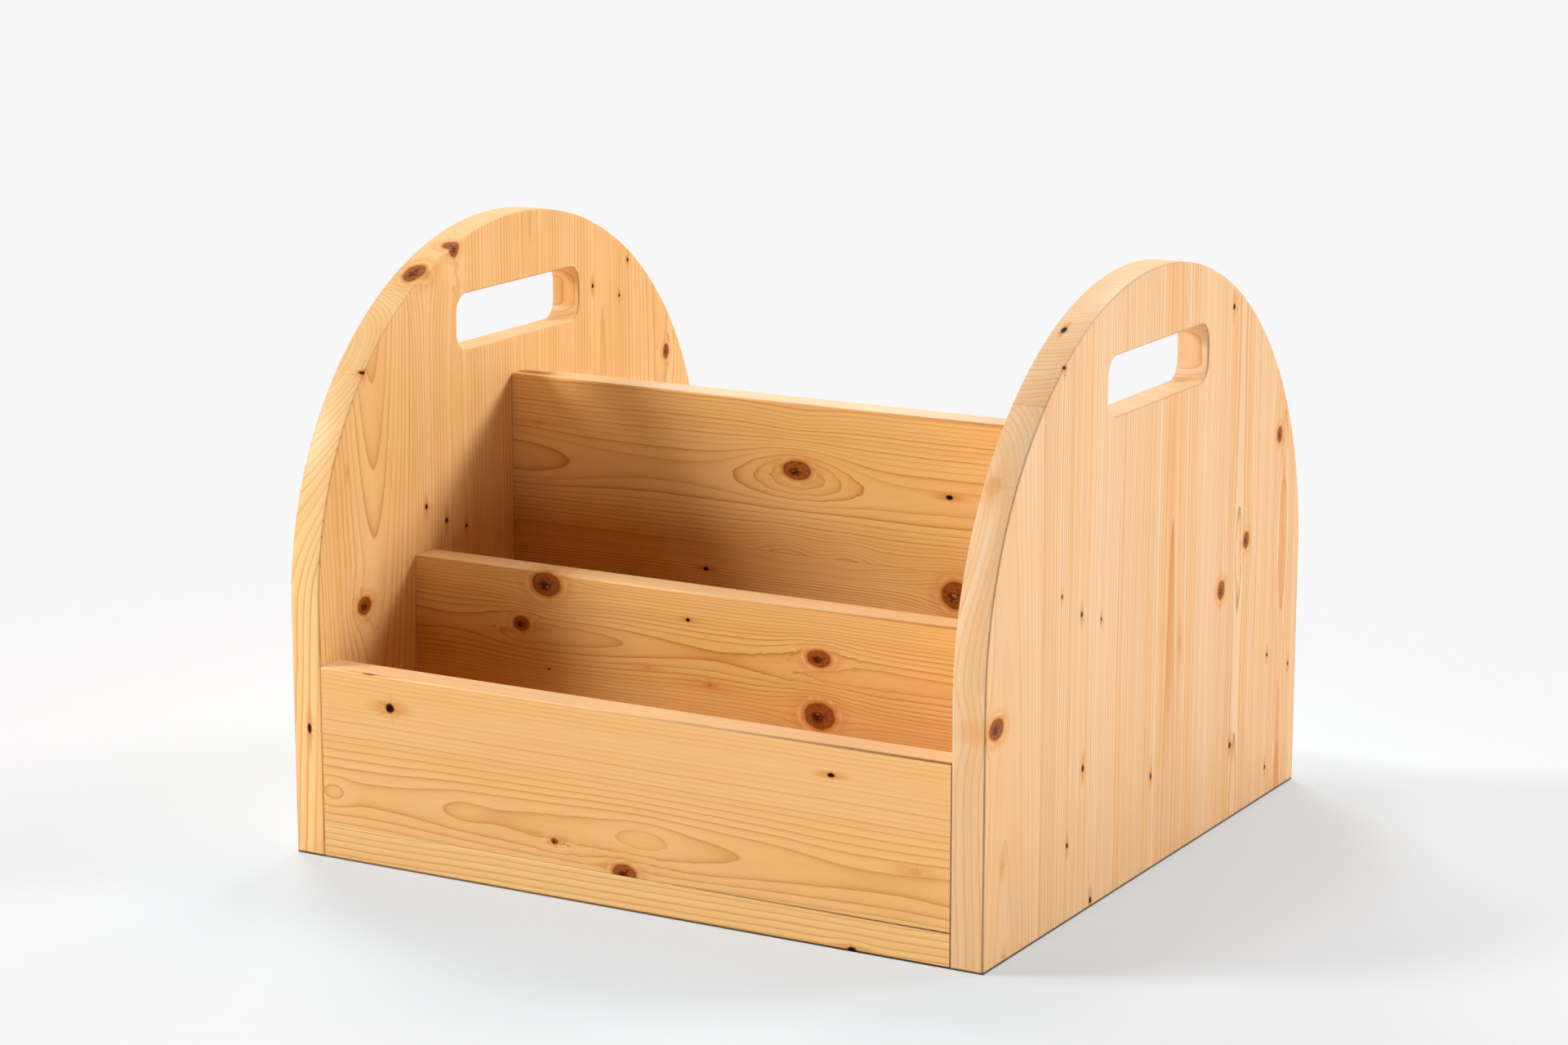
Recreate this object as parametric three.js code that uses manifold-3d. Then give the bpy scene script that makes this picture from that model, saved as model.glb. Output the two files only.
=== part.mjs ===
// Picture book browser bin: a double-sided pine box for showing picture books face on.
// Two arched side panels with hand slots hold a base board and five upright boards,
// which step up from a low panel at each face to a tall divider in the middle.
// Every joint is a butt joint with glued blind dowels, so no fixing shows outside.
// Millimetres, +Z up. The origin is on the floor under the middle, and the front faces -Y.

import * as THREE from 'three';
import { mergeVertices } from 'three/addons/utils/BufferGeometryUtils.js';
import Module from 'manifold-3d';

// Overall sizes and board stock
const BIN_WIDTH = 405;
const BIN_DEPTH = 387;
const BIN_HEIGHT = 318;
const BOARD_THICKNESS = 18;
const ARRIS_RADIUS = 1.2;
const GLUE_LINE = 0.2;

// Side panels: straight edges up to the spring line, then half an ellipse
const SPRING_HEIGHT = 134;
const ARCH_STEPS = 48;

// Hand slot, measured from the top of the arch
const SLOT_LENGTH = 123;
const SLOT_HEIGHT = 31;
const SLOT_DROP = 38;
const SLOT_CORNER_RADIUS = 10;
const SLOT_CORNER_STEPS = 6;

// Upright boards, standing on the base. The setback is from the front of the low panel to that of the divider.
const LOW_PANEL_HEIGHT = 85;
const MID_DIVIDER_HEIGHT = 127;
const CENTRE_DIVIDER_HEIGHT = 211;
const MID_DIVIDER_SETBACK = 88;
const ARRIS_STEPS = 2;

// Dowels and the blind holes that hold them
const DOWEL_DIAMETER = 8;
const DOWEL_LENGTH = 30;
const DOWEL_CHAMFER = 0.8;
const DOWEL_SIDES = 12;
const DOWEL_FIT = 0.2;
const HOLE_FLOOR = 7;
const HOLE_SPARE = 1;
const UPRIGHT_DOWEL_MARGIN = 20;
const BASE_DOWEL_MARGIN = 40;
const BASE_DOWELS_PER_END = 4;
const FOOT_DOWEL_MARGIN = 55;
const FOOT_DOWELS_PER_UPRIGHT = 3;

// Derived places
const INNER_WIDTH = BIN_WIDTH - 2 * BOARD_THICKNESS;
const CROSS_BOARD_LENGTH = INNER_WIDTH - 2 * GLUE_LINE;
const BIN_FRONT = -BIN_DEPTH / 2;
const UPRIGHT_FOOT = BOARD_THICKNESS + GLUE_LINE;
const LOW_PANEL_PLACE = BIN_FRONT + BOARD_THICKNESS / 2;
const MID_DIVIDER_PLACE = LOW_PANEL_PLACE + MID_DIVIDER_SETBACK;
const HOLE_DEPTH_IN_FACE = BOARD_THICKNESS - HOLE_FLOOR;

const UPRIGHTS = [
  { name: 'front_panel', place: LOW_PANEL_PLACE, height: LOW_PANEL_HEIGHT, endDowels: 2 },
  { name: 'front_mid_divider', place: MID_DIVIDER_PLACE, height: MID_DIVIDER_HEIGHT, endDowels: 2 },
  { name: 'centre_divider', place: 0, height: CENTRE_DIVIDER_HEIGHT, endDowels: 3 },
  { name: 'rear_mid_divider', place: -MID_DIVIDER_PLACE, height: MID_DIVIDER_HEIGHT, endDowels: 2 },
  { name: 'rear_panel', place: -LOW_PANEL_PLACE, height: LOW_PANEL_HEIGHT, endDowels: 2 },
];

const SIDES = [
  { name: 'left', sign: -1 },
  { name: 'right', sign: 1 },
];

// Pine boards with a clear satin finish, and plain beech dowels
const pine = new THREE.MeshStandardMaterial({ name: 'pine', color: 0xf4c283, roughness: 0.45, metalness: 0 });
const beech = new THREE.MeshStandardMaterial({ name: 'beech', color: 0xd8b184, roughness: 0.8, metalness: 0 });

const wasm = await Module();
wasm.setup();

// Evenly spaced places from one end to the other
function spread(first, last, count) {
  return Array.from({ length: count }, (_, i) => first + ((last - first) * i) / (count - 1));
}

// A closed three.js geometry as a solid that can be cut
function solidFrom(geometry) {
  const bare = geometry.clone();
  bare.deleteAttribute('normal');
  bare.deleteAttribute('uv');
  const merged = mergeVertices(bare);
  const vertProperties = merged.getAttribute('position').array;
  const triVerts = new Uint32Array(merged.index.array);
  return new wasm.Manifold(new wasm.Mesh({ numProp: 3, vertProperties, triVerts }));
}

// A cut solid as a three.js geometry again
function geometryFrom(solid) {
  const { vertProperties, triVerts } = solid.getMesh();
  const geometry = new THREE.BufferGeometry();
  geometry.setAttribute('position', new THREE.BufferAttribute(vertProperties, 3));
  geometry.setIndex(new THREE.BufferAttribute(triVerts, 1));
  geometry.computeVertexNormals();
  return geometry;
}

// A rectangle with its lower left corner at (left, low) and rounded corners
function roundedRectangle(left, low, width, height, radius, cornerSteps) {
  const right = left + width;
  const high = low + height;
  const outline = new THREE.Path();
  outline.absarc(left + radius, low + radius, radius, Math.PI, Math.PI * 1.5);
  outline.absarc(right - radius, low + radius, radius, Math.PI * 1.5, Math.PI * 2);
  outline.absarc(right - radius, high - radius, radius, 0, Math.PI / 2);
  outline.absarc(left + radius, high - radius, radius, Math.PI / 2, Math.PI);
  return new THREE.Shape(outline.getPoints(cornerSteps / 2));
}

// Every board is an outline in the depth and height plane, drawn out along the width.
// Turning it this way sends the drawing's x to +Y, its y to +Z and the draw to +X.
function boardMesh(name, geometry) {
  const board = new THREE.Mesh(geometry, pine);
  board.name = name;
  board.rotation.set(Math.PI / 2, Math.PI / 2, 0);
  return board;
}

// Arched side panel with its hand slot, all arrises eased
function sidePanel(side) {
  const halfDepth = BIN_DEPTH / 2;
  const rise = BIN_HEIGHT - SPRING_HEIGHT;
  const arch = new THREE.EllipseCurve(0, SPRING_HEIGHT, halfDepth, rise, 0, Math.PI);
  const outline = new THREE.Shape([
    new THREE.Vector2(-halfDepth, 0),
    new THREE.Vector2(halfDepth, 0),
    ...arch.getPoints(ARCH_STEPS),
  ]);
  const slotLow = BIN_HEIGHT - SLOT_DROP - SLOT_HEIGHT;
  outline.holes.push(
    roundedRectangle(
      -SLOT_LENGTH / 2,
      slotLow,
      SLOT_LENGTH,
      SLOT_HEIGHT,
      SLOT_CORNER_RADIUS,
      SLOT_CORNER_STEPS,
    ),
  );
  const geometry = new THREE.ExtrudeGeometry(outline, {
    depth: BOARD_THICKNESS - 2 * ARRIS_RADIUS,
    bevelThickness: ARRIS_RADIUS,
    bevelSize: ARRIS_RADIUS,
    bevelOffset: -ARRIS_RADIUS,
    bevelSegments: ARRIS_STEPS,
  });
  geometry.translate(0, 0, ARRIS_RADIUS - BOARD_THICKNESS / 2);
  const panel = boardMesh(`${side.name}_side_panel`, geometry);
  panel.position.x = side.sign * (BIN_WIDTH - BOARD_THICKNESS) / 2;
  return panel;
}

// Straight board between the side panels, with eased long edges and square ends
function crossBoard(name, width, height) {
  const section = roundedRectangle(-width / 2, 0, width, height, ARRIS_RADIUS, ARRIS_STEPS);
  const geometry = new THREE.ExtrudeGeometry(section, { depth: CROSS_BOARD_LENGTH, bevelEnabled: false });
  geometry.translate(0, 0, -CROSS_BOARD_LENGTH / 2);
  return boardMesh(name, geometry);
}

// Dowel with chamfered ends, standing along its own y axis
function dowelMesh(name) {
  const radius = DOWEL_DIAMETER / 2;
  const end = DOWEL_LENGTH / 2;
  const profile = [
    new THREE.Vector2(0, -end),
    new THREE.Vector2(radius - DOWEL_CHAMFER, -end),
    new THREE.Vector2(radius, DOWEL_CHAMFER - end),
    new THREE.Vector2(radius, end - DOWEL_CHAMFER),
    new THREE.Vector2(radius - DOWEL_CHAMFER, end),
    new THREE.Vector2(0, end),
  ];
  const dowel = new THREE.Mesh(new THREE.LatheGeometry(profile, DOWEL_SIDES), beech);
  dowel.name = name;
  return dowel;
}

// Dowel lying along the width, from the end of a cross board into a side panel
function sideDowel(boardName, side, number, place, height) {
  const dowel = dowelMesh(`${boardName}_${side.name}_dowel_${number}`);
  const holeEnd = INNER_WIDTH / 2 + HOLE_DEPTH_IN_FACE;
  dowel.rotation.z = Math.PI / 2;
  dowel.position.set(side.sign * (holeEnd - HOLE_SPARE - DOWEL_LENGTH / 2), place, height);
  return dowel;
}

// Dowel standing up from the base into the foot of an upright
function footDowel(boardName, number, across, place) {
  const dowel = dowelMesh(`${boardName}_foot_dowel_${number}`);
  const holeEnd = BOARD_THICKNESS - HOLE_DEPTH_IN_FACE;
  dowel.rotation.x = Math.PI / 2;
  dowel.position.set(across, place, holeEnd + HOLE_SPARE + DOWEL_LENGTH / 2);
  return dowel;
}

// Bore a board for each dowel that enters it
function drill(board, dowels) {
  board.updateMatrixWorld();
  const toBoard = board.matrixWorld.clone().invert();
  const radius = DOWEL_DIAMETER / 2 + DOWEL_FIT;
  const length = DOWEL_LENGTH + 2 * HOLE_SPARE;
  let solid = solidFrom(board.geometry);
  for (const dowel of dowels) {
    dowel.updateMatrixWorld();
    const bore = new THREE.CylinderGeometry(radius, radius, length, DOWEL_SIDES);
    bore.applyMatrix4(dowel.matrixWorld);
    bore.applyMatrix4(toBoard);
    solid = solid.subtract(solidFrom(bore));
  }
  board.geometry = geometryFrom(solid);
}

const browserBin = new THREE.Group();
browserBin.name = 'picture_book_browser_bin';

const sidePanels = SIDES.map((side) => sidePanel(side));
const baseBoard = crossBoard('base_board', BIN_DEPTH, BOARD_THICKNESS);
const sideDowels = SIDES.map(() => []);
const baseDowels = [];

// Base board to the side panels
const baseDowelReach = BIN_DEPTH / 2 - BASE_DOWEL_MARGIN;
SIDES.forEach((side, s) => {
  spread(-baseDowelReach, baseDowelReach, BASE_DOWELS_PER_END).forEach((place, i) => {
    const dowel = sideDowel('base', side, i + 1, place, BOARD_THICKNESS / 2);
    sideDowels[s].push(dowel);
    baseDowels.push(dowel);
  });
});

// Upright boards to the side panels and to the base
for (const { name, place, height, endDowels } of UPRIGHTS) {
  const upright = crossBoard(name, BOARD_THICKNESS, height);
  upright.position.set(0, place, UPRIGHT_FOOT);
  const dowels = [];

  const lowest = UPRIGHT_FOOT + UPRIGHT_DOWEL_MARGIN;
  const highest = UPRIGHT_FOOT + height - UPRIGHT_DOWEL_MARGIN;
  SIDES.forEach((side, s) => {
    spread(lowest, highest, endDowels).forEach((level, i) => {
      const dowel = sideDowel(name, side, i + 1, place, level);
      sideDowels[s].push(dowel);
      dowels.push(dowel);
    });
  });

  const footReach = INNER_WIDTH / 2 - FOOT_DOWEL_MARGIN;
  spread(-footReach, footReach, FOOT_DOWELS_PER_UPRIGHT).forEach((across, i) => {
    const dowel = footDowel(name, i + 1, across, place);
    baseDowels.push(dowel);
    dowels.push(dowel);
  });

  drill(upright, dowels);
  browserBin.add(upright);
}

drill(baseBoard, baseDowels);
sidePanels.forEach((panel, s) => drill(panel, sideDowels[s]));

const allDowels = new Set([...sideDowels.flat(), ...baseDowels]);
browserBin.add(...sidePanels, baseBoard, ...allDowels);

export default browserBin;
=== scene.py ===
import math

import bmesh
import bpy
from mathutils import Matrix, Vector


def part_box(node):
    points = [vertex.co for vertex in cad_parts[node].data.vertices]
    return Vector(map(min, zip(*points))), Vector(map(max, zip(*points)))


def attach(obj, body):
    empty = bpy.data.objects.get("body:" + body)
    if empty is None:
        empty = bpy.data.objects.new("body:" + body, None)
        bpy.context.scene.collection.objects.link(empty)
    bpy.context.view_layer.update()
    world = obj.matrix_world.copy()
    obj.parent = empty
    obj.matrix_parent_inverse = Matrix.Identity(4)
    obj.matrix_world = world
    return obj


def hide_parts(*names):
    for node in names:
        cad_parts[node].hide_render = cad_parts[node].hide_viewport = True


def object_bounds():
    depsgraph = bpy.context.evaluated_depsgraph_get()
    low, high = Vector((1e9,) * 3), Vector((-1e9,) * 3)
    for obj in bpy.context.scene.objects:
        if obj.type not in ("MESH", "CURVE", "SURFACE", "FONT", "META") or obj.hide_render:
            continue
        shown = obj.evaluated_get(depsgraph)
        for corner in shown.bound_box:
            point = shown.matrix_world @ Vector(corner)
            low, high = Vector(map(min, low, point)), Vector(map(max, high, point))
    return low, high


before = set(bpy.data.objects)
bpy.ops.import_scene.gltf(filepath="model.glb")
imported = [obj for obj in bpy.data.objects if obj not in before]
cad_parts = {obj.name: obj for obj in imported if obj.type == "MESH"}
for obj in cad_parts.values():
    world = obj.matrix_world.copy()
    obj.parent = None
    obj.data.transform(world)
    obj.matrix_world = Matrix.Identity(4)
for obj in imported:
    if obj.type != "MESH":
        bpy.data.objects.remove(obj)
cad_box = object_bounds()

# Studio camera: a long lens at chest height, turned to the near right corner of the bin, so that
# the front, the right side panel and the pockets between the dividers show together.
MM = 0.001
SENSOR_WIDTH = 36.0
LENS_LENGTH = 91.55
CAMERA_PLACE = Vector((1014.6, -1825.8, 630.2)) * MM
CAMERA_TURN = math.radians(29.453)
CAMERA_DIP = math.radians(12.61)
camera = bpy.data.objects.new("studio_camera", bpy.data.cameras.new("studio_camera"))
camera.data.sensor_width = SENSOR_WIDTH
camera.data.lens = LENS_LENGTH
camera.location = CAMERA_PLACE
camera.rotation_euler = (math.pi / 2 - CAMERA_DIP, 0, CAMERA_TURN)
scene = bpy.context.scene
scene.collection.objects.link(camera)
scene.camera = camera
scene.view_settings.view_transform = "Standard"

# Studio floor: one wide sheet of matt white board, which fills the view. The bin stands on it, and
# its paint follows below.
FLOOR_HALF_WIDTH = 12.0
floor_mesh = bmesh.new()
bmesh.ops.create_grid(floor_mesh, x_segments=1, y_segments=1, size=FLOOR_HALF_WIDTH)
floor = bpy.data.objects.new("studio_floor", bpy.data.meshes.new("studio_floor"))
floor_mesh.to_mesh(floor.data)
floor_mesh.free()
scene.collection.objects.link(floor)

# White surround: the studio walls, which the lens and the lacquer see as white. They give the
# wood no other light of their own, so the pockets stay deep.

# A Mix node's two inputs and its result, for colours and for places
MIX_SOCKETS = {"RGBA": (6, 7, 2), "VECTOR": (4, 5, 1)}


class Wire:
    """A node socket for Python sums: an expression on wires adds its Math nodes."""

    def __init__(self, tree, socket):
        self.tree = tree
        self.socket = socket

    def node(self, kind, settings, values, result=0):
        made = self.tree.nodes.new(kind)
        for setting, value in settings.items():
            setattr(made, setting, value)
        for key, value in values.items():
            if isinstance(value, Wire):
                self.tree.links.new(value.socket, made.inputs[key])
            else:
                made.inputs[key].default_value = value
        return Wire(self.tree, made.outputs[result])

    def out(self, result):
        return Wire(self.tree, self.socket.node.outputs[result])

    def into(self, socket):
        self.tree.links.new(self.socket, socket)

    def math(self, operation, *values):
        return self.node("ShaderNodeMath", {"operation": operation}, dict(enumerate(values)))

    def vector(self, operation, *values, result=0):
        parts = dict(enumerate(values))
        return self.node("ShaderNodeVectorMath", {"operation": operation}, parts, result)

    def between(self, low, high):
        limits = {0: self, 1: low, 2: high}
        return self.node("ShaderNodeMapRange", {"interpolation_type": "SMOOTHSTEP"}, limits)

    def within(self, low, high):
        return 1 - self.between(low, high)

    def mixed(self, kind, under, over):
        first, second, result = MIX_SOCKETS[kind]
        layers = {0: self, first: under, second: over}
        return self.node("ShaderNodeMix", {"data_type": kind}, layers, result)

    def tint(self, ground, colour):
        return self.mixed("RGBA", ground, colour)

    def __abs__(self):
        return self.math("ABSOLUTE", self)

    def __add__(self, other):
        return self.math("ADD", self, other)

    def __radd__(self, other):
        return self.math("ADD", other, self)

    def __sub__(self, other):
        return self.math("SUBTRACT", self, other)

    def __rsub__(self, other):
        return self.math("SUBTRACT", other, self)

    def __mul__(self, other):
        return self.math("MULTIPLY", self, other)

    def __rmul__(self, other):
        return self.math("MULTIPLY", other, self)

    def __truediv__(self, other):
        return self.math("DIVIDE", self, other)

    def __pow__(self, other):
        return self.math("POWER", self, other)

    def __rpow__(self, other):
        return self.math("POWER", other, self)


PURE_WHITE = (1, 1, 1, 1)
WALL_STRENGTH = 0.94
scene.world = bpy.data.worlds.new("studio_walls")
scene.world.use_nodes = True
wall_tree = scene.world.node_tree
walls = wall_tree.nodes["Background"]
walls.inputs["Color"].default_value = PURE_WHITE
ray = Wire(wall_tree, wall_tree.nodes.new("ShaderNodeLightPath").outputs[0])
shown = ray.math("MAXIMUM", ray.out("Is Camera Ray"), ray.out("Is Glossy Ray"))
shown = shown.math("MAXIMUM", shown, ray.out("Is Transmission Ray"))
(shown * WALL_STRENGTH).into(walls.inputs["Strength"])

# Floor paint: matt white. The lens sees half of it as lit by itself, so the shadow stays pale and
# the wood throws little of its colour on it. Near the bin the paint is cooler, against that colour,
# and under the bin it is left dark.
FLOOR_WHITE = (0.845, 0.808, 0.785, 1)
COOL_WHITE = (0.785, 0.84, 0.865, 1)
COOL_NEAR = 0.2
COOL_FAR = 0.55
SELF_LIT_WHITE = (0.907, 0.944, 0.982, 1)
SELF_LIT_SHARE = 0.47
floor_paint = bpy.data.materials.new("matt_white_board")
floor_paint.use_nodes = True
floor_shader = floor_paint.node_tree.nodes["Principled BSDF"]
floor_shader.inputs["Roughness"].default_value = 1
floor_shader.inputs["Specular IOR Level"].default_value = 0
lit = Wire(floor_paint.node_tree, floor_shader.outputs[0])
self_lit = lit.node("ShaderNodeEmission", {}, {"Color": SELF_LIT_WHITE})
seen = lit.node("ShaderNodeLightPath", {}, {}, "Is Camera Ray")
floor_place = lit.node("ShaderNodeTexCoord", {}, {}, "Object")
way_off = floor_place.vector("LENGTH", floor_place, result="Value")
paint = way_off.between(COOL_NEAR, COOL_FAR).tint(COOL_WHITE, FLOOR_WHITE)
paint.into(floor_shader.inputs["Base Color"])
floor_ways = floor_place.node("ShaderNodeSeparateXYZ", {}, {0: floor_place})
beside = floor_ways.math("GREATER_THAN", abs(floor_ways.out("X")), cad_box[1][0])
before = floor_ways.math("GREATER_THAN", abs(floor_ways.out("Y")), cad_box[1][1])
clear = beside.math("MAXIMUM", beside, before)
share = clear * seen * SELF_LIT_SHARE
painted = share.node("ShaderNodeMixShader", {}, {0: share, 1: lit, 2: self_lit})
painted.into(floor_paint.node_tree.nodes["Material Output"].inputs["Surface"])
floor.data.materials.append(floor_paint)

# Base board: one flat pine board between the side panels, doweled into them at both ends. The
# front edge shows under the front panel. Its arrises are eased, and its top is bored for the
# foot dowels of the uprights.
ARRIS = 1.0 * MM
TIGHT_ARRIS = 0.4 * MM
ARRIS_STEPS = 4
ROUND_ARRIS = 0.5
SAME_SLOT = -1
DOWEL_ROOM = 0.2 * MM
BORE_SPARE = 1.0 * MM
BORE_SIDES = 32
FLAT_ENOUGH = 0.9999

# Clear pine: pale spring wood and darker summer wood in each year's ring
SPRING_WOOD = (0.905, 0.560, 0.235, 1)
WARM_WOOD = (0.84, 0.415, 0.115, 1)
SUMMER_WOOD = (0.50, 0.185, 0.035, 1)
END_GRAIN = (0.80, 0.46, 0.17, 1)
# Dark glue lines; the same colour is the painted shade along the side panels' arrises
GLUE_AND_ARRIS_SHADE = (0.40, 0.17, 0.045, 1)
# Painted sheen: the paler colour put on faces that look up
PAINTED_TOP_SHEEN = (1.0, 0.69, 0.41, 1)
FOOT_SHADE = (0.02, 0.012, 0.008, 1)

# Knots: a red-brown heart, a line of bark, a pale ring of resin and stained wood around it
KNOT_HEART = (0.41, 0.108, 0.018, 1)
KNOT_DARK = (0.085, 0.017, 0.002, 1)
KNOT_BARK = (0.012, 0.004, 0.002, 1)
KNOT_RESIN = (0.93, 0.56, 0.20, 1)
KNOT_STAIN = (0.74, 0.30, 0.07, 1)
KNOT_RING = (0.50, 0.17, 0.04, 1)

# Kinds of unevenness in the timber: the size of the patches along, across and through the grain in
# mm, a start of its own and the detail. The last two go round a knot or a small mark instead.
SWAY = ((150, 45, 45), 0, 1)
SHIVER = ((22, 9, 9), 1, 1)
KNURL = ((7, 3.5, 3.5), 19, 1)
TONE = ((220, 24, 24), 7, 2)
FIBRE = ((30, 0.5, 0.5), 3, 2)
SPECKLE = ((1.2, 0.7, 0.7), 9, 1)
RAGGED = ((2.6, 2.0, 2.0), 11, 2)
MOTTLE = ((2.2, 1.4, 1.4), 5, 3)
SPOKES = ((0.55, 0.55, 0.55), 13, 1)
RAYS = ((0.30, 0.30, 0.30), 17, 1)
NOISE_MIDDLE = 0.5

# Run of the rings: how far they stray in mm, how they part round a knot, and how the years differ.
# A reach is a share of the knot's half length or width, with a margin in mm.
WANDER = 3
SHIVER_DEPTH = 0.7
KNURL_DEPTH = 0.8
PARTING = 0.88
PARTING_REACH = ((2.3, 5), (1.5, 2))
UNREST_REACH = ((3, 10), (2.5, 6))
DEPTH_REACH = 2
GLUE_EDGE = (0.12, 0.4)
SQUARE_ROOT = 0.5
SPELL_PACE = 0.08
SPELL_SWING = 1.2

# Tone of the rings: the end of a year, the rise of its summer wood, and each layer's range and share.
# A share of two numbers is the least, and what is added with the unevenness.
RING_END = (0.955, 1.0)
WARMTH_START = 0.5
LINE_STRENGTH = (0.30, 0.70)
SUMMER_RISE = 7
SUMMER_SHARE = 0.85
END_FADE = 0.5
TONE_RANGE = (0.35, 0.75)
TONE_SHARE = 0.35
STREAK_RISE = 2
WARM_RISE = 3
WARM_SHARE = (0.06, 0.86)
FIBRE_RANGE = (0.45, 0.80)
FIBRE_SHARE = 0.14
SPECKLE_RANGE = (0.48, 0.70)
END_SHARE = (0.05, 0.75)
ARRIS_SHADE_PEAK = 4
GLUE_SHARE = 0.30
PAINTED_SHEEN_SHARE = 0.6
FOOT_REACH = (0.6, 1.6)
FOOT_SHARE = 0.9

# Layers of a knot, from the stained wood around it to its core, counted in the knot's half sizes
KNOT_RAGGED = 0.12
KNOT_SPOKED = 0.18
STAIN_REACH = (1.0, 2.4)
STAIN_SHARE = (0.40, 0.5)
RESIN_START = (1.22, 1.34)
RESIN_END = (1.38, 1.62)
RESIN_GAPS = (0.35, 0.65)
RESIN_SHARE = 0.75
RING_REACH = (1.03, 1.26)
RING_SHARE = (0.15, 0.6)
KNOT_EDGE = (0.92, 1.06)
BARK_REACH = (0.84, 0.99)
BARK_SHARE = (0.2, 0.4)
SWIRL_PACE = 21
SWIRL_MOTTLE = 7
HALF_WAVE = 0.5
SWIRL_SHARE = 0.2
MOTTLE_RANGE = (0.45, 0.70)
MOTTLE_SHARE = 0.45
CORE_ASIDE = (0.12, 0.15, 0)
CORE_RAGGED = 0.8
CORE_REACH = (0.22, 0.56)
CORE_SHARE = 0.9
FLECK_RANGE = (0.56, 0.68)
FLECK_REACH = (0.20, 0.55)
FLECK_SHARE = 0.55
CRACK_RANGE = (0.56, 0.64)
CRACK_REACH = (0.30, 0.75)
CRACK_SHARE = 0.8

# Layers of a small mark: its heart and edge, the wings along the grain and the rays around it
PIN_STRENGTH = 1
PIN_TONES = (KNOT_BARK, KNOT_DARK)
SPECK_STRENGTH = 0.5
SPECK_TONES = (KNOT_STAIN, KNOT_STAIN)
MARK_RAGGED = 0.30
MARK_HEART = (0.45, 1.0)
MARK_EDGE = (0.70, 1.25)
WING_SHAPE = (0.28, 0.8, 1)
WING_REACH = (0.5, 1.9)
WING_SHARE = 0.7
RAY_REACH = (1.0, 4.0)
RAY_GAPS = (0.50, 0.66)
RAY_SHARE = 0.5

# Satin lacquer: clear and thin, thicker on the top edges, with the grain just to be felt
# The tops' coat weight, which also sets a painted sheen: a paler colour on the upward faces
TOP_COAT_AND_PAINTED_SHEEN = 0.8
COAT_ROUGHNESS = 0.3
ROUGHNESS = (0.36, 0.10)
END_ROUGHNESS = 0.15
LACQUER_IOR = 1.5
LACQUER_GLEAM = 0.03
RIDGE_SHARE = 0.5
RIDGE_STRENGTH = 0.12
RIDGE_HEIGHT = 0.15 * MM


def timber_noise(timber, kind, seed):
    """Soft noise in the timber, of one kind."""
    size, start, detail = kind
    scale = [1 / side for side in size]
    shift = seed + start
    moved = timber.vector("MULTIPLY_ADD", timber, scale, (shift, shift, shift))
    return timber.node("ShaderNodeTexNoise", {}, {"Vector": moved, "Scale": 1, "Detail": detail})


def uneven(share, noise):
    """A share that starts at its least and grows with the noise."""
    least, more = share
    return least + more * noise


def spot(timber, middle, half):
    """A point's way from the middle of a mark on the board, counted in the mark's own half sizes."""
    scale = [1 / side if side else 0 for side in half]
    start = [-place * share for place, share in zip(middle, scale)]
    return timber.vector("MULTIPLY_ADD", timber, scale, start)


def swelling(timber, middle, half):
    """One at the middle of a mark, falling softly to nothing around it."""
    way = spot(timber, middle, half)
    return (1 / math.e) ** way.vector("DOT_PRODUCT", way, way, result="Value")


def knot_swelling(timber, knot, reach):
    """A swelling round a knot, as far as this reach."""
    (long_share, long_margin), (wide_share, wide_margin) = reach
    half_length, half_width, half_depth = knot[3:]
    half = (
        half_length * long_share + long_margin,
        half_width * wide_share + wide_margin,
        half_depth * DEPTH_REACH,
    )
    return swelling(timber, knot[:3], half)


def nearest(timber, marks):
    """The way from the middle of the nearest mark, in its own half sizes, and how long it is."""
    near = None
    for mark in marks:
        way = spot(timber, mark[:3], mark[3:])
        length = way.vector("LENGTH", way, result="Value")
        if near is None:
            near = way
            least = length
        else:
            near = length.math("LESS_THAN", length, least).mixed("VECTOR", near, way)
            least = length.math("MINIMUM", length, least)
    return near, least


def year_rings(timber, grain, staves, knots, ovals, seed):
    """Years counted outwards from the heart of each stave's log, and the glue lines between staves."""
    along, across, through = grain

    # Each stave's log: the place of its heart, the width of its rings and its lean along the board
    log = staves[0][1:]
    glue = 0
    for before, after in zip(staves, staves[1:]):
        past = across.math("GREATER_THAN", across, after[0])
        log = [value + past * (new - old) for value, old, new in zip(log, before[1:], after[1:])]
        glue = glue + abs(across - after[0]).within(*GLUE_EDGE)
    heart_across, heart_through, ring, lean = log

    # The grain parts round each knot and is wavy there, and it swells up or sinks in ovals
    parted = across
    unrest = 0
    for knot in knots:
        parted = parted - (across - knot[1]) * knot_swelling(timber, knot, PARTING_REACH) * PARTING
        unrest = unrest + knot_swelling(timber, knot, UNREST_REACH)
    swell = along * lean
    for oval_along, oval_across, half_length, half_width, rise in ovals:
        middle = (oval_along, oval_across, 0)
        swell = swell + swelling(timber, middle, (half_length, half_width, 0)) * rise

    sway = timber_noise(timber, SWAY, seed).out("Color")
    sways = sway.node("ShaderNodeSeparateColor", {}, {0: sway})
    shiver = timber_noise(timber, SHIVER, seed) - NOISE_MIDDLE
    knurl = timber_noise(timber, KNURL, seed) - NOISE_MIDDLE
    sideways = parted - heart_across + (sways.out("Red") - NOISE_MIDDLE) * WANDER
    sideways = sideways + shiver * SHIVER_DEPTH
    inwards = through - heart_through + (sways.out("Green") - NOISE_MIDDLE) * WANDER + swell
    inwards = inwards + knurl * unrest * ring * KNURL_DEPTH
    radius = (sideways * sideways + inwards * inwards) ** SQUARE_ROOT
    spell = {"W": radius * SPELL_PACE + seed, "Scale": 1, "Detail": 1}
    spells = radius.node("ShaderNodeTexNoise", {"noise_dimensions": "1D"}, spell)
    return radius / ring + (spells - NOISE_MIDDLE) * SPELL_SWING, glue


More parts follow.
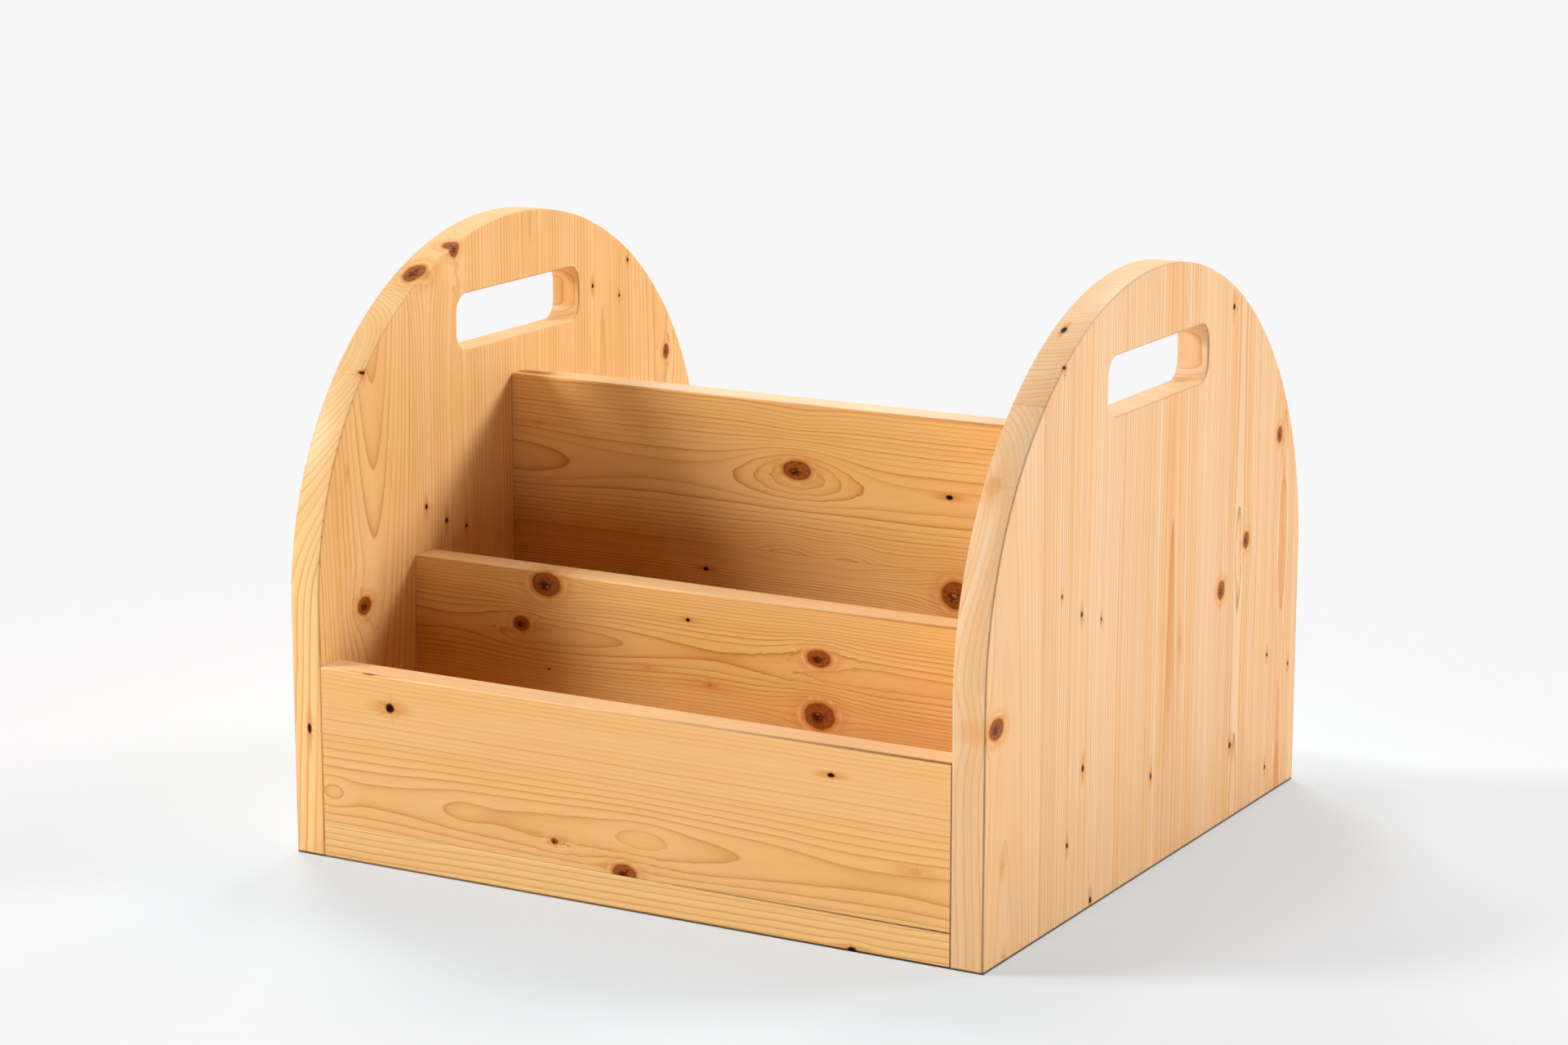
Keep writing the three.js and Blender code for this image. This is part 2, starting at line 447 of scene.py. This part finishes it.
def with_knots(colour, timber, knots, ragged, seed):
    """Knots: stained and resinous wood around them, a line of bark and a cracked red-brown heart."""
    near, way = nearest(timber, knots)
    beam = near.vector("NORMALIZE", near)
    spokes = timber_noise(beam, SPOKES, seed)
    mottle = timber_noise(timber, MOTTLE, seed)
    way = way + (ragged - NOISE_MIDDLE) * KNOT_RAGGED + (spokes - NOISE_MIDDLE) * KNOT_SPOKED
    stain = way.within(*STAIN_REACH) * uneven(STAIN_SHARE, ragged)
    colour = stain.tint(colour, KNOT_STAIN)
    resin = way.between(*RESIN_START) * way.within(*RESIN_END) * spokes.between(*RESIN_GAPS)
    colour = (resin * RESIN_SHARE).tint(colour, KNOT_RESIN)
    colour = (way.within(*RING_REACH) * uneven(RING_SHARE, ragged)).tint(colour, KNOT_RING)

    swirl = way * SWIRL_PACE + mottle * SWIRL_MOTTLE
    circles = swirl.math("SINE", swirl) * HALF_WAVE + HALF_WAVE
    depth = mottle.between(*MOTTLE_RANGE) * MOTTLE_SHARE + circles * SWIRL_SHARE
    heart = depth.tint(KNOT_HEART, KNOT_DARK)
    aside = near.vector("ADD", near, CORE_ASIDE)
    core = aside.vector("LENGTH", aside, result="Value") + (mottle - NOISE_MIDDLE) * CORE_RAGGED
    heart = (core.within(*CORE_REACH) * CORE_SHARE).tint(heart, KNOT_DARK)
    fleck = ragged.between(*FLECK_RANGE) * core.within(*FLECK_REACH) * FLECK_SHARE
    heart = fleck.tint(heart, KNOT_STAIN)
    crack = spokes.between(*CRACK_RANGE) * way.within(*CRACK_REACH)
    heart = (crack * CRACK_SHARE).tint(heart, KNOT_BARK)
    heart = (way.between(*BARK_REACH) * uneven(BARK_SHARE, ragged)).tint(heart, KNOT_DARK)
    return way.within(*KNOT_EDGE).tint(colour, heart)


def with_marks(colour, timber, marks, strength, tones, ragged, seed):
    """Small marks: a dot with a rim, stained wings along the grain and short rays around it."""
    near, way = nearest(timber, marks)
    beam = near.vector("NORMALIZE", near)
    spokes = timber_noise(beam, RAYS, seed)
    way = way + (ragged - NOISE_MIDDLE) * MARK_RAGGED
    drawn_out = near.vector("MULTIPLY", near, WING_SHAPE)
    wings = drawn_out.vector("LENGTH", drawn_out, result="Value")
    rays = way.within(*RAY_REACH) * spokes.between(*RAY_GAPS)
    halo = wings.within(*WING_REACH) * WING_SHARE + rays * RAY_SHARE
    colour = (halo * strength).tint(colour, KNOT_STAIN)
    heart = way.between(*MARK_HEART).tint(*tones)
    return (way.within(*MARK_EDGE) * strength).tint(colour, heart)


def pine(
    name,
    axes,
    staves,
    knots,
    pins,
    specks,
    ovals,
    line_depth,
    streaks,
    bold_bands,
    tone_and_sheen_cast,
    seed,
    arris_shade=0,
    face_coat=0,
    top_coat_and_painted_sheen=TOP_COAT_AND_PAINTED_SHEEN,
):
    """Knotty pine under a satin lacquer. All places and sizes are in mm.

    axes: the world's axes along, across and through the board
    staves: where each starts across the board, its log's heart across and through, ring width and lean
    knots, pins and specks: the middle along, across and through, and the half sizes that way
    ovals: the middle along and across, the half length and width, and the rise of the rings there
    bold_bands: the middle across, the half width, and what it adds to the depth of the lines
    """
    finish = bpy.data.materials.new(name)
    finish.use_nodes = True
    shader = finish.node_tree.nodes["Principled BSDF"]
    place = Wire(finish.node_tree, finish.node_tree.nodes.new("ShaderNodeTexCoord").outputs["Object"])
    ways = place.node("ShaderNodeSeparateXYZ", {}, {0: place})
    grain = [ways.out(axis) / MM for axis in axes]
    timber = place.node("ShaderNodeCombineXYZ", {}, dict(enumerate(grain)))
    facing = place.node("ShaderNodeSeparateXYZ", {}, {0: place.out("Normal")})
    cut_across = facing.out(axes[0]) * facing.out(axes[0])
    flat = facing.out(axes[2]) * facing.out(axes[2])
    upward = facing.math("MAXIMUM", facing.out("Z"), 0)
    sideways = 1 - facing.out("Z") * facing.out("Z")

    # Lines of summer wood, bolder in some years than in others
    age, glue = year_rings(timber, grain, staves, knots, ovals, seed)
    year = age.math("FLOOR", age)
    season = age - year
    ended = season.within(*RING_END)
    luck_start = {"W": year + seed}
    luck = year.node("ShaderNodeTexWhiteNoise", {"noise_dimensions": "1D"}, luck_start)
    warmth_start = {"W": year + seed + WARMTH_START}
    warmth = year.node("ShaderNodeTexWhiteNoise", {"noise_dimensions": "1D"}, warmth_start)
    bold = line_depth * uneven(LINE_STRENGTH, luck)
    for band_across, half_width, extra in bold_bands:
        bold = bold + swelling(timber, (0, band_across, 0), (0, half_width, 0)) * extra
    summer = season ** SUMMER_RISE * ended * bold * (1 - END_FADE * cut_across)

    # Slow changes of tone, warm years, summer wood, fine fibres, end grain, painted shade on the
    # arrises and glue
    tone = timber_noise(timber, TONE, seed)
    fibre = timber_noise(timber, FIBRE, seed)
    speckle = timber_noise(timber, SPECKLE, seed).between(*SPECKLE_RANGE)
    colour = (tone.between(*TONE_RANGE) * TONE_SHARE).tint(SPRING_WOOD, WARM_WOOD)
    colour = (warmth ** STREAK_RISE * streaks).tint(colour, WARM_WOOD)
    colour = (season ** WARM_RISE * ended * uneven(WARM_SHARE, bold)).tint(colour, WARM_WOOD)
    colour = (summer * SUMMER_SHARE).tint(colour, SUMMER_WOOD)
    colour = (fibre.between(*FIBRE_RANGE) * FIBRE_SHARE).tint(colour, SUMMER_WOOD)
    colour = (cut_across * uneven(END_SHARE, speckle)).tint(colour, END_GRAIN)
    # Painted shade: darker on the eased arrises, where the face turns into the edge
    colour = (flat * (1 - flat) * ARRIS_SHADE_PEAK * arris_shade).tint(colour, GLUE_AND_ARRIS_SHADE)
    if len(staves) > 1:
        colour = (glue * GLUE_SHARE).tint(colour, GLUE_AND_ARRIS_SHADE)
    # Each board's cast: its own tone, and on the side panels also a painted sheen, paler and bluer
    colour = colour.vector("MULTIPLY", colour, tone_and_sheen_cast)
    # Painted sheen: faces that look up are painted paler, where the lacquer would catch the light
    colour = (upward * upward * top_coat_and_painted_sheen * PAINTED_SHEEN_SHARE).tint(colour, PAINTED_TOP_SHEEN)

    # Knots, dark pin knots and pale specks, and a line of shade along the eased foot
    ragged = timber_noise(timber, RAGGED, seed)
    if knots:
        colour = with_knots(colour, timber, knots, ragged, seed)
    if pins:
        colour = with_marks(colour, timber, pins, PIN_STRENGTH, PIN_TONES, ragged, seed)
    if specks:
        colour = with_marks(colour, timber, specks, SPECK_STRENGTH, SPECK_TONES, ragged, seed)
    height = ways.out("Z") / MM
    colour = (height.within(*FOOT_REACH) * sideways * FOOT_SHARE).tint(colour, FOOT_SHADE)

    # Lacquer over it all
    colour.into(shader.inputs["Base Color"])
    (face_coat + (top_coat_and_painted_sheen - face_coat) * upward * upward).into(shader.inputs["Coat Weight"])
    (uneven(ROUGHNESS, fibre) + END_ROUGHNESS * cut_across).into(shader.inputs["Roughness"])
    shader.inputs["Coat Roughness"].default_value = COAT_ROUGHNESS
    shader.inputs["IOR"].default_value = LACQUER_IOR
    shader.inputs["Specular IOR Level"].default_value = LACQUER_GLEAM
    ridges = summer * RIDGE_SHARE + fibre * RIDGE_SHARE
    relief = {"Strength": RIDGE_STRENGTH, "Distance": RIDGE_HEIGHT, "Height": ridges}
    ridges.node("ShaderNodeBump", {}, relief).into(shader.inputs["Normal"])
    return finish


def bored_board(blank, node, finish):
    """Bores a blank for the dowels that enter it, and puts the board in the node's place."""
    low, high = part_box(node)
    board = bpy.data.objects.new(node + "_board", bpy.data.meshes.new(node + "_board"))
    blank.to_mesh(board.data)
    blank.free()
    scene.collection.objects.link(board)
    bores = bmesh.new()
    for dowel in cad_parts:
        foot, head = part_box(dowel)
        apart = any(head[side] < low[side] or foot[side] > high[side] for side in range(3))
        if "_dowel_" not in dowel or apart:
            continue
        size = head - foot
        upright = size.z > size.x
        spin = Matrix.Identity(4) if upright else Matrix.Rotation(math.pi / 2, 4, "Y")
        bmesh.ops.create_cone(
            bores,
            cap_ends=True,
            segments=BORE_SIDES,
            radius1=size.y / 2 + DOWEL_ROOM,
            radius2=size.y / 2 + DOWEL_ROOM,
            depth=max(size) + 2 * BORE_SPARE,
            matrix=Matrix.Translation((foot + head) / 2) @ spin,
        )
    drill = bpy.data.objects.new("drill", bpy.data.meshes.new("drill"))
    bores.to_mesh(drill.data)
    bores.free()
    scene.collection.objects.link(drill)
    boring = board.modifiers.new("boring", "BOOLEAN")
    boring.operation = "DIFFERENCE"
    boring.solver = "MANIFOLD"
    boring.object = drill
    bored = board.evaluated_get(bpy.context.evaluated_depsgraph_get())
    solid = bpy.data.meshes.new_from_object(bored)
    board.modifiers.clear()
    board.data = solid
    solid.name = board.name
    bpy.data.objects.remove(drill)
    for side in solid.polygons:
        side.use_smooth = max(abs(part) for part in side.normal) < FLAT_ENOUGH
    solid.materials.clear()
    solid.materials.append(finish)
    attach(board, "root")
    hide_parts(node)
    return board


def ease(blank, edges, arris):
    """Rounds these edges of a blank over to this radius."""
    bmesh.ops.bevel(
        blank,
        geom=edges,
        offset=arris,
        offset_type="OFFSET",
        affect="EDGES",
        segments=ARRIS_STEPS,
        profile=ROUND_ARRIS,
        material=SAME_SLOT,
    )
    bmesh.ops.recalc_face_normals(blank, faces=blank.faces)


def cross_blank(node, head_arris, foot_arris):
    """A board of the node's size, with its four long arrises eased."""
    low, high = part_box(node)
    blank = bmesh.new()
    bmesh.ops.create_cube(blank, size=1)
    bmesh.ops.scale(blank, vec=high - low, verts=blank.verts)
    bmesh.ops.translate(blank, vec=(low + high) / 2, verts=blank.verts)
    middle = (low.z + high.z) / 2
    for arris, above in ((head_arris, True), (foot_arris, False)):
        long_edges = []
        for edge in blank.edges:
            start, end = edge.verts
            lengthwise = abs(start.co.x - end.co.x) > ARRIS
            if lengthwise and (start.co.z > middle) == above:
                long_edges.append(edge)
        ease(blank, long_edges, arris)
    return blank


CROSSWISE = ("X", "Z", "Y")
base_pine = pine(
    "base_pine",
    axes=CROSSWISE,
    staves=[(-300, 60, -240, 2.6, 0.006)],
    knots=[],
    pins=[(131, 1, -193.5, 2.6, 1.6, 4)],
    specks=[],
    ovals=[(131, 0, 10, 8, 2.0)],
    line_depth=0.75,
    streaks=0.25,
    bold_bands=[(9, 14, 0.3)],
    tone_and_sheen_cast=(1.06, 1.1, 1.15),
    seed=1.3,
)
bored_board(cross_blank("base_board", TIGHT_ARRIS, ARRIS), "base_board", base_pine)

# Front panel: the low pine board at the face, doweled into the side panels and the base. It is flat
# sawn, with the heart of the log behind its lower part, so the rings close in ovals there.
front_pine = pine(
    "front_panel_pine",
    axes=CROSSWISE,
    staves=[(-300, 38, -166.15, 2.35, 0.0)],
    knots=[(0.5, 19.7, -193.5, 7.0, 4.6, 14), (-41, 30.2, -193.5, 2.2, 1.6, 6)],
    pins=[
        (-141, 86.6, -193.5, 2.8, 2.6, 4),
        (119, 88, -193.5, 2.2, 1.2, 4),
        (-154, 103.2, -193, 4.6, 0.5, 0.6),
    ],
    specks=[(166, 46, -193.5, 3.2, 2.0, 4)],
    ovals=[
        (-10, 38, 100, 30, 3.2),
        (12, 39, 17.7, 8, 2.2),
        (-98, 37.5, 16, 8, 1.2),
        (-178, 36, 10, 8, 2.5),
    ],
    line_depth=0.66,
    streaks=0.2,
    bold_bands=[(58, 12, 0.30), (26, 8, 0.25), (92, 13, -0.16)],
    tone_and_sheen_cast=(1.02, 0.995, 1.0),
    seed=4.1,
)
bored_board(cross_blank("front_panel", ARRIS, TIGHT_ARRIS), "front_panel", front_pine)

# Front mid divider: a taller pine board behind the front pocket, with large live knots. It is
# doweled into the side panels and the base.
front_mid_pine = pine(
    "front_mid_divider_pine",
    axes=CROSSWISE,
    staves=[(-300, 111.7, -84, 1.25, 0.0)],
    knots=[
        (-101, 139, -105.5, 9, 6.5, 12),
        (-117, 115.8, -105.5, 5, 4, 30),
        (63.5, 119.4, -105.5, 7, 4.5, 30),
        (64, 89.2, -105.5, 9, 7, 30),
    ],
    pins=[
        (-14, 130.2, -105.5, 1.4, 1.1, 4),
        (-1, 97.1, -105.5, 1.1, 0.9, 4),
        (-100, 93, -105.5, 0.7, 0.6, 2),
    ],
    specks=[(-39, 101.3, -105.5, 2.2, 1.6, 4), (-1, 97, -105.5, 4.2, 2.6, 4)],
    ovals=[(5, 111.7, 60, 30, -2.05), (-160, 111.7, 40, 30, -1.75)],
    line_depth=1.2,
    streaks=0.4,
    bold_bands=[(128, 14, 0.25), (95, 12, 0.25)],
    tone_and_sheen_cast=(1, 0.99, 0.9),
    seed=9.7,
)
bored_board(cross_blank("front_mid_divider", ARRIS, TIGHT_ARRIS), "front_mid_divider", front_mid_pine)

# Centre divider: the tallest pine board, glued up from two staves and shared by both sides of the
# bin. It is doweled into the side panels and the base.
centre_pine = pine(
    "centre_divider_pine",
    axes=CROSSWISE,
    staves=[(-300, 60, 40, 1.3, 0.0), (146.7, 184.6, 20, 1.85, 0.0)],
    knots=[
        (-3.5, 192.8, -9, 8.5, 5.2, 40),
        (92, 135.4, -9, 8, 7.5, 40),
        (-175, 229.2, -1, 11, 2, 3.5),
    ],
    pins=[(88, 187.7, -9, 2.2, 1.4, 4), (-60, 132.3, -9, 1.8, 1.2, 4)],
    specks=[(-168, 203, -9, 5, 1.3, 3)],
    ovals=[
        (-3, 191, 30, 12, 8),
        (-3, 222, 22, 10, -3),
        (-9.5, 148, 20, 10, -8),
        (28, 148, 15, 9, -7),
        (-184, 186, 45, 30, 2.2),
    ],
    line_depth=1.25,
    streaks=0.35,
    bold_bands=[(217, 8, 0.25), (165, 14, 0.25), (138, 10, 0.2)],
    tone_and_sheen_cast=(1.04, 1.03, 0.95),
    seed=2.9,
)
bored_board(cross_blank("centre_divider", ARRIS, TIGHT_ARRIS), "centre_divider", centre_pine)

# Rear mid divider: the twin of the front one, turned to the back of the bin, from another pine board.
# It is doweled in the same way, and has knots of its own.
rear_mid_pine = pine(
    "rear_mid_divider_pine",
    axes=CROSSWISE,
    staves=[(-300, 96, 84, 1.7, 0.004)],
    knots=[(-72, 124, 105.5, 7, 5, 30), (118, 100, 105.5, 8, 6, 30)],
    pins=[
        (22, 133, 105.5, 1.5, 1.1, 4),
        (-140, 94, 105.5, 1.2, 1.0, 4),
        (61, 88, 105.5, 1.6, 1.2, 4),
    ],
    specks=[],
    ovals=[(20, 100, 30, 8, 1.5)],
    line_depth=1.1,
    streaks=0.35,
    bold_bands=[(125, 14, 0.25)],
    tone_and_sheen_cast=(1, 0.98, 0.9),
    seed=13.3,
)
rear_mid_blank = cross_blank("rear_mid_divider", ARRIS, TIGHT_ARRIS)
rear_mid_divider = bored_board(rear_mid_blank, "rear_mid_divider", rear_mid_pine)

# Rear panel: the low board at the back, the twin of the front panel, from another pine board, and
# doweled in the same way. It has knots of its own too.
rear_pine = pine(
    "rear_panel_pine",
    axes=CROSSWISE,
    staves=[(-300, 49, 168, 2.3, 0.003)],
    knots=[(-88, 69, 193.5, 7, 5, 30), (104, 32, 193.5, 6, 4, 30)],
    pins=[
        (12, 83, 193.5, 1.8, 1.3, 4),
        (150, 77, 193.5, 1.4, 1.1, 4),
        (-150, 34, 193.5, 1.6, 1.2, 4),
    ],
    specks=[],
    ovals=[(-20, 49, 34, 9, 1.8), (62, 51, 18, 7, 1.5)],
    line_depth=0.75,
    streaks=0.25,
    bold_bands=[(75, 12, 0.3), (28, 8, 0.3)],
    tone_and_sheen_cast=(1, 1, 1),
    seed=17.9,
)
rear_panel = bored_board(cross_blank("rear_panel", ARRIS, TIGHT_ARRIS), "rear_panel", rear_pine)

# Side panels: two pine panels glued up from upright staves, sawn to an arch on top, with a routed
# hand slot below it. All their arrises are eased. Blind bores on the inside take the dowels.
SPRING_LINE = 134 * MM
ARCH_STEPS = 60
SLOT_HALF_LENGTH = 61.5 * MM
SLOT_FOOT = 249 * MM
SLOT_HEAD = 280 * MM
SLOT_CORNER = 10 * MM
SLOT_CORNER_STEPS = 8
MERGE_WITHIN = 0.01 * MM
UPRIGHT = ("Z", "Y", "X")


def arc(blank, start, centre, angle, steps):
    """A run of edges from a new point at start, spun round a centre in the panel's plane."""
    first = blank.verts.new(start)
    spun = bmesh.ops.spin(blank, geom=[first], cent=centre, axis=(1, 0, 0), angle=angle, steps=steps)
    last = [item for item in spun["geom_last"] if isinstance(item, bmesh.types.BMVert)][0]
    return first, last


def side_blank(node):
    """An arched panel with a hand slot: half an outline, mirrored, thickened and eased."""
    low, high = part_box(node)
    face = low.x
    blank = bmesh.new()
    spring, crown = arc(blank, (face, low.y, 0), (face, 0, 0), -math.pi / 2, ARCH_STEPS)
    flatten = (high.z - SPRING_LINE) / high.y
    bmesh.ops.scale(blank, vec=(1, 1, flatten), verts=blank.verts)
    bmesh.ops.translate(blank, vec=(0, 0, SPRING_LINE), verts=blank.verts)
    bend = -SLOT_HALF_LENGTH + SLOT_CORNER
    head_turn = (face, bend, SLOT_HEAD - SLOT_CORNER)
    foot_turn = (face, bend, SLOT_FOOT + SLOT_CORNER)
    foot_start = (face, -SLOT_HALF_LENGTH, SLOT_FOOT + SLOT_CORNER)
    head, head_side = arc(blank, (face, bend, SLOT_HEAD), head_turn, math.pi / 2, SLOT_CORNER_STEPS)
    foot_side, foot = arc(blank, foot_start, foot_turn, math.pi / 2, SLOT_CORNER_STEPS)
    slot_top = blank.verts.new((face, 0, SLOT_HEAD))
    slot_bottom = blank.verts.new((face, 0, SLOT_FOOT))
    middle = blank.verts.new((face, 0, low.z))
    corner = blank.verts.new((face, low.y, low.z))
    for start, end in (
        (crown, slot_top),
        (slot_top, head),
        (head_side, foot_side),
        (foot, slot_bottom),
        (slot_bottom, middle),
        (middle, corner),
        (corner, spring),
    ):
        blank.edges.new((start, end))
    bmesh.ops.contextual_create(blank, geom=blank.edges[:])
    half_panel = blank.verts[:] + blank.edges[:] + blank.faces[:]
    bmesh.ops.mirror(blank, geom=half_panel, axis="Y", merge_dist=MERGE_WITHIN)
    thick = bmesh.ops.extrude_face_region(blank, geom=blank.faces[:])
    moved = [item for item in thick["geom"] if isinstance(item, bmesh.types.BMVert)]
    bmesh.ops.translate(blank, vec=(high.x - low.x, 0, 0), verts=moved)
    bmesh.ops.recalc_face_normals(blank, faces=blank.faces)
    rim = []
    for edge in blank.edges:
        broad = [abs(side.normal.x) > FLAT_ENOUGH for side in edge.link_faces]
        if any(broad) and not all(broad):
            rim.append(edge)
    ease(blank, rim, ARRIS)
    return blank


left_pine = pine(
    "left_side_pine",
    axes=UPRIGHT,
    staves=[
        (-300, -143, -228, 2.6, -0.06),
        (-105, -62, -198, 2.4, 0.012),
        (-18, 11, -198, 2.6, -0.010),
        (45, 86, -197, 2.5, 0.012),
        (115, 150, -222, 2.4, -0.010),
    ],
    knots=[
        (127.4, -153, -184.5, 4.8, 6.0, 40),
        (306.3, -63.5, -184.5, 5.0, 4.5, 7),
        (215.8, 156, -184.5, 4.5, 3.2, 40),
        (296, -91.5, -191, 6.0, 8.5, 6),
    ],
    pins=[
        (276, 114, -184.5, 1.2, 1.1, 4),
        (266, 76, -184.5, 1.4, 1.2, 4),
        (256.5, 104.5, -184.5, 1.1, 1.0, 4),
        (169.7, -94, -184.5, 1.6, 1.3, 4),
        (158.5, -75, -184.5, 1.7, 1.4, 4),
        (151.8, -56, -184.5, 1.2, 1.0, 4),
        (252, -149, -184.5, 1.4, 1.2, 4),
        (69, -193.5, -192.5, 3.0, 1.5, 1.3),
    ],
    specks=[(201.5, -165.5, -184.5, 1.2, 1.0, 4)],
    ovals=[(127, -153, 16, 14, -2.0)],
    line_depth=0.95,
    streaks=0.5,
    bold_bands=[(-107, 6, 0.35), (-15, 8, 0.35), (37, 6, 0.35)],
    # Paler, bluer cast: partly the panel's own tone, partly a painted sheen on its faces
    tone_and_sheen_cast=(1.03, 1.08, 1.16),
    arris_shade=0.3,
    face_coat=0.2,
    top_coat_and_painted_sheen=0.3,
    seed=21.1,
)
left_side_panel = bored_board(side_blank("left_side_panel"), "left_side_panel", left_pine)

right_pine = pine(
    "right_side_pine",
    axes=UPRIGHT,
    staves=[
        (-300, -172, 176, 2.6, 0.03),
        (-133, -25, 180, 2.4, 0.004),
        (-45, 20, 189.24, 2.5, 0.010),
        (56, 108, 190, 2.4, 0.004),
        (133, 169, 190, 2.4, 0.012),
    ],
    knots=[
        (119.7, -182, 202.5, 5.2, 7.5, 14),
        (203, 161.5, 202.5, 4.5, 3.5, 40),
        (152.6, 118, 202.5, 4.6, 3.8, 40),
        (131.6, 85.5, 202.5, 5.0, 4.5, 40),
    ],
    pins=[
        (41.8, 102.5, 202.5, 1.9, 1.7, 4),
        (283.3, 94, 202.5, 1.7, 1.5, 4),
        (155.9, -88.5, 202.5, 1.5, 1.3, 4),
        (169.7, -111.5, 202.5, 1.0, 0.9, 4),
        (148.5, -65.5, 202.5, 1.0, 0.9, 4),
        (75.8, -84.5, 202.5, 1.8, 1.5, 4),
        (40.2, -101.5, 202.5, 1.5, 1.3, 4),
        (3.8, -73, 202.5, 1.8, 1.5, 4),
        (50.7, -1.5, 202.5, 1.9, 1.1, 4),
        (81.3, 151.5, 202.5, 1.2, 1.1, 4),
        (69.5, 182, 202.5, 1.2, 1.1, 4),
        (17, 152.5, 202.5, 1.3, 1.1, 4),
        (297.4, -89, 190.5, 1.5, 4.0, 1.5),
        (283.7, -112.5, 202.5, 1.2, 1.5, 1.2),
    ],
    specks=[
        (49.5, -174, 202.5, 1.5, 2.0, 4),
        (2.5, -171, 202.5, 1.5, 2.0, 4),
        (115, 32, 202.5, 4.0, 1.5, 4),
        (150, 169, 202.5, 42, 3.0, 4),
        (28, 169, 202.5, 34, 3.0, 4),
        (120, 19, 202.5, 50, 2.4, 4),
        (233, -163, 190, 5.0, 5.0, 4),
    ],
    ovals=[
        (148, 109, 25, 20, -1.5),
        (10, 111, 30, 20, -1.5),
        (150, 169, 50, 30, -3.2),
    ],
    line_depth=1.05,
    streaks=0.7,
    bold_bands=[
        (-165, 25, -0.3),
        (-120, 10, 0.5),
        (-30, 12, 0.45),
        (-11, 4, 0.5),
        (19, 8, 0.35),
        (45, 7, 0.5),
        (110, 18, 0.35),
    ],
    # Paler, bluer cast: partly the panel's own tone, partly a painted sheen on its faces
    tone_and_sheen_cast=(1.0, 1.11, 1.6),
    arris_shade=0.4,
    face_coat=0.2,
    top_coat_and_painted_sheen=0.3,
    seed=25.7,
)
bored_board(side_blank("right_side_panel"), "right_side_panel", right_pine)

# Dowels: the turned beech pins of the pack, glued into blind bores, so none of them shows outside.
# They keep their shape, and get the fine fleck of beech.
BEECH_PALE = (0.62, 0.38, 0.20, 1)
BEECH_FLECK = (0.40, 0.20, 0.09, 1)
BEECH_FLECKS = ((0.6, 0.6, 0.6), 0, 2)
BEECH_FLECK_RANGE = (0.5, 0.75)
BEECH_ROUGHNESS = (0.55, 0.2)
beech = bpy.data.materials.new("beech_dowel")
beech.use_nodes = True
beech_shader = beech.node_tree.nodes["Principled BSDF"]
beech_place = Wire(beech.node_tree, beech.node_tree.nodes.new("ShaderNodeTexCoord").outputs["Object"])
beech_timber = beech_place.vector("MULTIPLY", beech_place, (1 / MM, 1 / MM, 1 / MM))
fleck = timber_noise(beech_timber, BEECH_FLECKS, 0)
beech_tone = fleck.between(*BEECH_FLECK_RANGE).tint(BEECH_PALE, BEECH_FLECK)
beech_tone.into(beech_shader.inputs["Base Color"])
uneven(BEECH_ROUGHNESS, fleck).into(beech_shader.inputs["Roughness"])
for dowel, dowel_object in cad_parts.items():
    if "_dowel_" in dowel:
        dowel_object.data.materials.clear()
        dowel_object.data.materials.append(beech)

# Studio lamps: softboxes far off, so the light is even. Flags keep the bin's lamps off the floor, which
# has lamps of its own for a short shadow, and keep some off the left panel or the rear boards. Each has
# its compass turn from the front towards the right, its height and spread in degrees, and its strength.
BIN_SOFTBOXES = {
    "left_front_key_softbox": (305, 32, 18, 0.70),
    "front_softbox": (320, 32, 18, 0.09),
    "right_low_softbox": (115, 8, 18, 0.13),
    "right_rear_key_softbox": (132, 28, 15, 0.71),
    "right_rear_high_softbox": (150, 48, 18, 0.21),
    "rear_softbox": (200, 42, 18, 0.15),
}
POCKET_SOFTBOXES = {
    "left_low_softbox": (290, 6, 18, 0.14),
    "left_front_low_softbox": (305, 6, 18, 0.23),
}
REAR_EDGE_SOFTBOXES = {"rear_high_softbox": (185, 55, 18, 0.14)}
LEFT_EDGE_SOFTBOXES = {"left_edge_softbox": (0, 20, 18, 0.28)}
FLOOR_SOFTBOXES = {
    "floor_right_rear_softbox": (141, 40, 20, 0.271),
    "floor_rear_softbox": (186, 41, 16, 0.203),
    "floor_rear_left_softbox": (225, 35, 24, 0.433),
    "floor_rear_left_high_softbox": (224, 62, 28, 0.129),
    "floor_left_high_softbox": (281, 72, 14, 0.21),
    "floor_left_front_softbox": (297, 45, 14, 0.401),
}


def light(softboxes, flag, state, flagged):
    """Lamps behind a flag, which keeps them off some objects or lets them reach those alone."""
    receivers = bpy.data.collections.new(flag)
    for shaded in flagged:
        receivers.objects.link(shaded)
    for member in receivers.collection_objects:
        member.light_linking.link_state = state
    for softbox, (compass, rise, spread, strength) in softboxes.items():
        lamp = bpy.data.objects.new(softbox, bpy.data.lights.new(softbox, "SUN"))
        lamp.data.energy = strength * math.pi
        lamp.data.angle = math.radians(spread)
        turn = math.radians(compass)
        lift = math.radians(rise)
        ahead = -math.cos(turn) * math.cos(lift)
        towards = Vector((math.sin(turn) * math.cos(lift), ahead, math.sin(lift)))
        lamp.rotation_euler = towards.to_track_quat("Z", "Y").to_euler()
        lamp.light_linking.receiver_collection = receivers
        scene.collection.objects.link(lamp)


light(BIN_SOFTBOXES, "floor_flag", "EXCLUDE", [floor])
light(POCKET_SOFTBOXES, "left_panel_flag", "EXCLUDE", [floor, left_side_panel])
light(REAR_EDGE_SOFTBOXES, "rear_flag", "EXCLUDE", [floor, rear_panel, rear_mid_divider])
light(LEFT_EDGE_SOFTBOXES, "left_edge_flag", "INCLUDE", [left_side_panel])
light(FLOOR_SOFTBOXES, "bin_flag", "INCLUDE", [floor])
